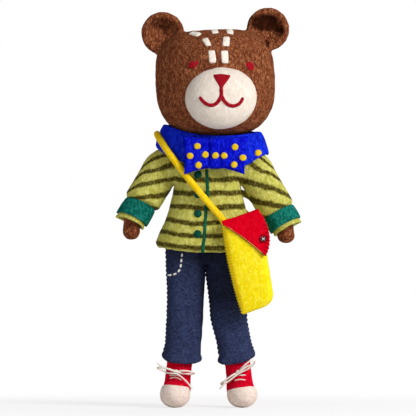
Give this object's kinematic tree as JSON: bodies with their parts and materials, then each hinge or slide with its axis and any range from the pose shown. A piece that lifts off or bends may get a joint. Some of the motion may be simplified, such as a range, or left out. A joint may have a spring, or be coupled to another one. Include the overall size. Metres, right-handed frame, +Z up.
{
  "type": "felt bear doll",
  "caption": "Standing felted wool bear in a striped jacket, bow tie, trousers and laced shoes, with a flap bag on a shoulder strap; head, limbs, bag and flap move.",
  "frame": {"origin": "on the floor, under the middle of the standing figure", "axes": "+Z up the figure, the face looks along -Y, the bear's own left is +X"},
  "size_m": [0.1526, 0.1016, 0.3298],
  "materials": {
    "bear_wool": "needle-felted brown wool with lighter fibres and a short fuzz",
    "cream_wool": "needle-felted cream wool",
    "red_wool": "dark red wool needled into the felt",
    "dash_wool": "white wool strands needled into the felt",
    "jacket_felt": "yellow-green felt with dark olive bands needled in",
    "teal_felt": "teal felt",
    "blue_felt": "bright blue felt",
    "dot_felt": "yellow felt",
    "denim_felt": "dark navy felt with stitched seams",
    "shoe_felt": "red felt",
    "toe_felt": "cream felt",
    "lace_cord": "white cotton string",
    "bag_felt": "yellow felt",
    "flap_felt": "red felt",
    "strap_cord": "rolled golden felt cord",
    "catch_button": "glossy dark button"
  },
  "bodies": {
    "torso": {"torso": "bear_wool", "jacket": "jacket_felt", "placket": "teal_felt", "jacket_button_1": "teal_felt", "jacket_button_2": "teal_felt", "jacket_button_3": "teal_felt", "jacket_button_4": "teal_felt", "strap": "strap_cord", "collar": "blue_felt", "collar_dot": "dot_felt", "bow_right_wing": "blue_felt", "bow_left_wing": "blue_felt", "bow_knot": "blue_felt", "bow_dot_1": "dot_felt", "bow_dot_2": "dot_felt", "bow_dot_3": "dot_felt", "bow_dot_4": "dot_felt", "bow_dot_5": "dot_felt", "bow_dot_6": "dot_felt", "bow_dot_7": "dot_felt", "bow_dot_8": "dot_felt", "bow_dot_9": "dot_felt", "trouser_seat": "denim_felt"},
    "head": {"head": "bear_wool", "muzzle": "cream_wool", "right_ear": "bear_wool", "left_ear": "bear_wool", "right_eye": "red_wool", "left_eye": "red_wool", "nose": "red_wool", "mouth": "red_wool", "forehead_dash_1": "dash_wool", "forehead_dash_2": "dash_wool", "forehead_dash_3": "dash_wool", "forehead_dash_4": "dash_wool", "forehead_dash_5": "dash_wool", "forehead_dash_6": "dash_wool", "forehead_dash_7": "dash_wool"},
    "right_arm": {"right_arm": "bear_wool", "right_sleeve": "jacket_felt", "right_cuff": "teal_felt"},
    "left_arm": {"left_arm": "bear_wool", "left_sleeve": "jacket_felt", "left_cuff": "teal_felt"},
    "right_leg": {"right_leg": "bear_wool", "right_trouser_leg": "denim_felt", "right_shoe_upper": "shoe_felt", "right_toe_cap": "toe_felt", "right_lace": "lace_cord"},
    "left_leg": {"left_leg": "bear_wool", "left_trouser_leg": "denim_felt", "left_shoe_upper": "shoe_felt", "left_toe_cap": "toe_felt", "left_lace": "lace_cord"},
    "bag": {"bag_back": "bag_felt", "bag_front": "bag_felt"},
    "flap": {"bag_flap": "flap_felt", "flap_button": "catch_button"}
  },
  "joints": [
    {"name": "head_turn", "type": "hinge", "parent": "torso", "child": "head", "pos_m": [0.0022, 0.007, 0.226], "axis": [0, 0, 1], "range_deg": [-20, 20]},
    {"name": "right_shoulder", "type": "hinge", "parent": "torso", "child": "right_arm", "pos_m": [-0.0292, 0.007, 0.1995], "axis": [-1, 0, 0], "range_deg": [-30, 35]},
    {"name": "left_shoulder", "type": "hinge", "parent": "torso", "child": "left_arm", "pos_m": [0.0256, 0.007, 0.1995], "axis": [-1, 0, 0], "range_deg": [-30, 35]},
    {"name": "right_hip", "type": "hinge", "parent": "torso", "child": "right_leg", "pos_m": [-0.0206, 0.007, 0.11], "axis": [-1, 0, 0], "range_deg": [-20, 20]},
    {"name": "left_hip", "type": "hinge", "parent": "torso", "child": "left_leg", "pos_m": [0.0156, 0.007, 0.11], "axis": [-1, 0, 0], "range_deg": [-20, 20]},
    {"name": "bag_swing", "type": "hinge", "parent": "torso", "child": "bag", "pos_m": [0.01006, -0.0248, 0.15269], "axis": [-0.9336, 0, -0.3584], "range_deg": [0, 20]},
    {"name": "flap_lift", "type": "hinge", "parent": "bag", "child": "flap", "pos_m": [0.01006, -0.0248, 0.15269], "axis": [-0.9336, 0, -0.3584], "range_deg": [0, 70]}
  ]
}
